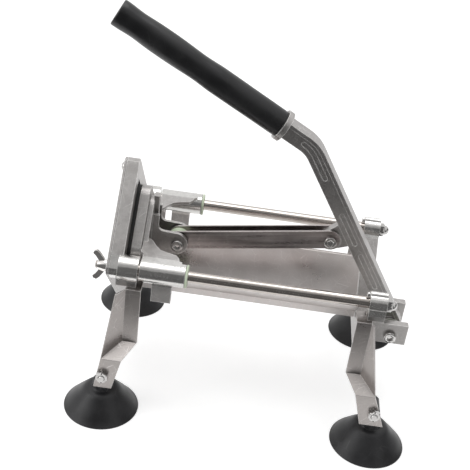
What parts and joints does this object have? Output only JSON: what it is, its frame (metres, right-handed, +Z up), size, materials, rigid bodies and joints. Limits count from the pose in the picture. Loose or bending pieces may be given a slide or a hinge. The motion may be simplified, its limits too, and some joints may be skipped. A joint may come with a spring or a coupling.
{
  "type": "french fry cutter",
  "caption": "Lever press on suction-cup feet that pushes a potato along a V-shaped tray through a square grid of blades.",
  "frame": {"origin": "on the table under the middle of the bounds", "axes": "+Z up; +X along the guide rods from the blades to the handle pivot; +Y from the near rod to the far rod"},
  "size_m": [0.3674, 0.279, 0.4137],
  "materials": {
    "cast_metal": "cast and bead-blasted, satin",
    "sheet_steel": "rolled and folded sheet",
    "polished_steel": "turned and polished",
    "dark_steel": "pressed sheet, darker",
    "black_rubber": "moulded, satin black",
    "black_plastic": "moulded, dull black",
    "pale_nylon": "pale nylon",
    "blade_steel": "ground blades"
  },
  "bodies": {
    "machine": {"acorn_nut_far": "polished_steel", "acorn_nut_near": "polished_steel", "blade_grid": "blade_steel", "clamp_screw_far": "polished_steel", "clamp_screw_near": "polished_steel", "cover_plate": "cast_metal", "cover_screw_bottom": "polished_steel", "cover_screw_top": "polished_steel", "foot_bolt_front_far": "polished_steel", "foot_bolt_front_near": "polished_steel", "foot_bolt_rear_far": "polished_steel", "foot_bolt_rear_near": "polished_steel", "foot_nut_front_far": "polished_steel", "foot_nut_front_near": "polished_steel", "foot_nut_rear_far": "polished_steel", "foot_nut_rear_near": "polished_steel", "front_frame": "cast_metal", "guide_rod_far": "polished_steel", "guide_rod_near": "polished_steel", "leg_front_far": "sheet_steel", "leg_front_near": "sheet_steel", "leg_rear_far": "sheet_steel", "leg_rear_near": "sheet_steel", "leg_screw_front_far": "polished_steel", "leg_screw_front_near": "polished_steel", "leg_screw_rear_far": "polished_steel", "leg_screw_rear_near": "polished_steel", "pivot_bolt": "polished_steel", "pivot_nut": "polished_steel", "pivot_washer_far": "pale_nylon", "pivot_washer_near": "pale_nylon", "rear_frame": "cast_metal", "suction_cup_front_far": "black_rubber", "suction_cup_front_near": "black_rubber", "suction_cup_rear_far": "black_rubber", "suction_cup_rear_near": "black_rubber", "tray": "sheet_steel"},
    "pusher": {"toothed_plate": "black_plastic", "push_block": "cast_metal", "pusher_carriage": "cast_metal", "sleeve_bush_near": "pale_nylon", "sleeve_bush_far": "pale_nylon", "block_screw_near": "polished_steel", "block_screw_far": "polished_steel", "clevis_screw_near": "polished_steel", "clevis_screw_far": "polished_steel"},
    "handle": {"handle_arm": "cast_metal", "handle_tube": "polished_steel", "handle_grip": "black_rubber", "crank_bolt": "polished_steel", "crank_nut": "polished_steel"},
    "link_arm": {"link": "dark_steel", "link_pin": "polished_steel", "link_roller": "pale_nylon"},
    "near_wing_nut": {"wing_nut_near": "polished_steel"},
    "far_wing_nut": {"wing_nut_far": "polished_steel"}
  },
  "joints": [
    {"name": "handle_pivot", "type": "hinge", "parent": "machine", "child": "handle", "pos_m": [0.1565, 0, 0.089], "axis": [0, 1, 0], "range_deg": [0, 79.8]},
    {"name": "pusher_slide", "type": "slide", "parent": "machine", "child": "pusher", "axis": [1, 0, 0], "range_m": [0, 0.1635]},
    {"name": "link_hinge", "type": "hinge", "parent": "handle", "child": "link_arm", "pos_m": [0.0748, 0, 0.1867], "axis": [0, 1, 0], "range_deg": [-79.9, 0]},
    {"name": "near_wing_nut_turn", "type": "hinge", "parent": "machine", "child": "near_wing_nut", "pos_m": [-0.1493, -0.075, 0.163], "axis": [1, 0, 0], "continuous": true},
    {"name": "far_wing_nut_turn", "type": "hinge", "parent": "machine", "child": "far_wing_nut", "pos_m": [-0.1493, 0.075, 0.163], "axis": [1, 0, 0], "continuous": true}
  ],
  "couplings": [
    {"joint": "pusher_slide", "follows": "handle_pivot", "m_per_rad": 0.11731},
    {"joint": "link_hinge", "follows": "handle_pivot", "ratio": -1}
  ]
}
